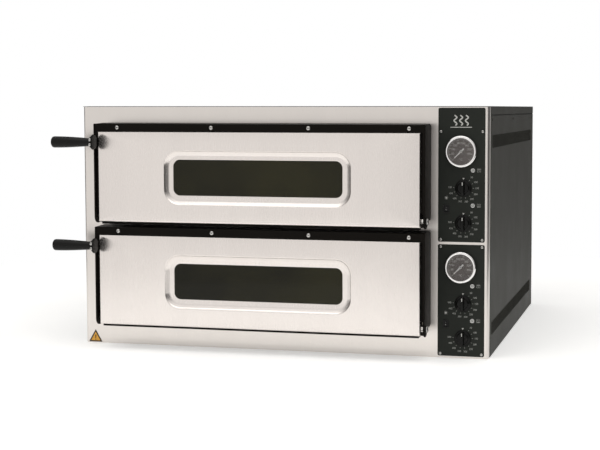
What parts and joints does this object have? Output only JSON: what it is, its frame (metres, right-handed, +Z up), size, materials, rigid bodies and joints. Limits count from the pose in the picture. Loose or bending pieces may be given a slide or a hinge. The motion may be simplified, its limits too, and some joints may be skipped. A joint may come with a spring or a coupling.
{
  "type": "countertop pizza oven",
  "caption": "Two-deck electric countertop pizza oven with bottom-hinged glazed doors, side grip handles, dial thermometers, thermostat knobs and louvred side panels.",
  "frame": {"origin": "centre of the flat underside, midway between the front fascia and the rear panel", "axes": "+X to the right (control column side) seen from the front, -Y out of the front through the doors, +Z up"},
  "size_m": [1.337, 1.3325, 0.75],
  "materials": {
    "fascia_steel": "satin",
    "skin_steel": "satin",
    "inner_steel": "satin",
    "case_paint": "satin",
    "door_paint": "satin",
    "plate_paint": "satin",
    "sign": "satin",
    "fire_brick": "matte",
    "heater_sheath": "matte",
    "wool": "matte",
    "lamp_glass": "satin",
    "chromed": "polished",
    "clear_glass": "gloss",
    "door_glass": "gloss",
    "needle_white": "matte",
    "knob_plastic": "matte",
    "switch_plastic": "satin",
    "lens_plastic": "gloss",
    "device_plastic": "matte",
    "terminal_plastic": "matte",
    "wire_sleeve": "matte",
    "thermostat_metal": "satin",
    "screw_steel": "satin",
    "seal_rope": "matte",
    "bracket_steel": "satin"
  },
  "bodies": {
    "oven": {"base_tray": "case_paint", "front_fascia": "fascia_steel", "side_panel_left": "case_paint", "side_panel_right": "case_paint", "rear_panel": "case_paint", "top_cover": "case_paint", "partition": "inner_steel", "plate_upper": "plate_paint", "plate_lower": "plate_paint", "warning_sign": "sign", "muffle_upper": "inner_steel", "muffle_lower": "inner_steel", "stone_slabs": "fire_brick", "roof_elements": "heater_sheath", "floor_elements": "heater_sheath", "insulation_slabs": "wool", "insulation_walls": "wool", "chamber_lamps": "lamp_glass", "vent_ducts": "inner_steel", "gauge_bodies": "chromed", "gauge_glasses": "clear_glass", "thermostats": "thermostat_metal", "switch_bodies": "switch_plastic", "pilot_lamps": "lens_plastic", "contactors": "device_plastic", "terminal_block": "terminal_plastic", "wiring_loom": "wire_sleeve", "cable_gland": "knob_plastic", "hinge_brackets": "bracket_steel", "plate_screws": "screw_steel", "panel_screws": "case_paint"},
    "needle_upper": {"needle_upper": "needle_white"},
    "needle_lower": {"needle_lower": "needle_white"},
    "knob_roof_upper": {"knob_roof_upper": "knob_plastic"},
    "knob_floor_upper": {"knob_floor_upper": "knob_plastic"},
    "knob_roof_lower": {"knob_roof_lower": "knob_plastic"},
    "knob_floor_lower": {"knob_floor_lower": "knob_plastic"},
    "rocker_upper": {"rocker_upper": "switch_plastic"},
    "rocker_lower": {"rocker_lower": "switch_plastic"},
    "door_upper": {"casing_upper": "door_paint", "skin_upper": "skin_steel", "inner_pan_upper": "inner_steel", "panes_upper": "door_glass", "gasket_upper": "seal_rope", "door_wool_upper": "wool", "handle_hub_upper": "knob_plastic", "grip_upper": "knob_plastic", "pivot_bolts_upper": "screw_steel", "door_screws_upper": "screw_steel"},
    "door_lower": {"casing_lower": "door_paint", "skin_lower": "skin_steel", "inner_pan_lower": "inner_steel", "panes_lower": "door_glass", "gasket_lower": "seal_rope", "door_wool_lower": "wool", "handle_hub_lower": "knob_plastic", "grip_lower": "knob_plastic", "pivot_bolts_lower": "screw_steel", "door_screws_lower": "screw_steel"}
  },
  "joints": [
    {"name": "door_hinge_upper", "type": "hinge", "parent": "oven", "child": "door_upper", "pos_m": [-0.047, -0.657, 0.4125], "axis": [1, 0, 0], "range_deg": [0, 90]},
    {"name": "door_hinge_lower", "type": "hinge", "parent": "oven", "child": "door_lower", "pos_m": [-0.047, -0.657, 0.095], "axis": [1, 0, 0], "range_deg": [0, 90]},
    {"name": "knob_roof_upper_turn", "type": "hinge", "parent": "oven", "child": "knob_roof_upper", "pos_m": [0.568, -0.5862, 0.508], "axis": [0, 1, 0], "range_deg": [0, 275]},
    {"name": "knob_floor_upper_turn", "type": "hinge", "parent": "oven", "child": "knob_floor_upper", "pos_m": [0.568, -0.5862, 0.404], "axis": [0, 1, 0], "range_deg": [0, 275]},
    {"name": "knob_roof_lower_turn", "type": "hinge", "parent": "oven", "child": "knob_roof_lower", "pos_m": [0.568, -0.5862, 0.1645], "axis": [0, 1, 0], "range_deg": [0, 275]},
    {"name": "knob_floor_lower_turn", "type": "hinge", "parent": "oven", "child": "knob_floor_lower", "pos_m": [0.568, -0.5862, 0.0605], "axis": [0, 1, 0], "range_deg": [0, 275]},
    {"name": "needle_upper_turn", "type": "hinge", "parent": "oven", "child": "needle_upper", "pos_m": [0.561, -0.5952, 0.6165], "axis": [0, 1, 0], "range_deg": [0, 270]},
    {"name": "needle_lower_turn", "type": "hinge", "parent": "oven", "child": "needle_lower", "pos_m": [0.561, -0.5952, 0.273], "axis": [0, 1, 0], "range_deg": [0, 270]},
    {"name": "rocker_upper_tilt", "type": "hinge", "parent": "oven", "child": "rocker_upper", "pos_m": [0.517, -0.5842, 0.446], "axis": [1, 0, 0], "range_deg": [0, 18]},
    {"name": "rocker_lower_tilt", "type": "hinge", "parent": "oven", "child": "rocker_lower", "pos_m": [0.517, -0.5842, 0.1025], "axis": [1, 0, 0], "range_deg": [0, 18]}
  ]
}
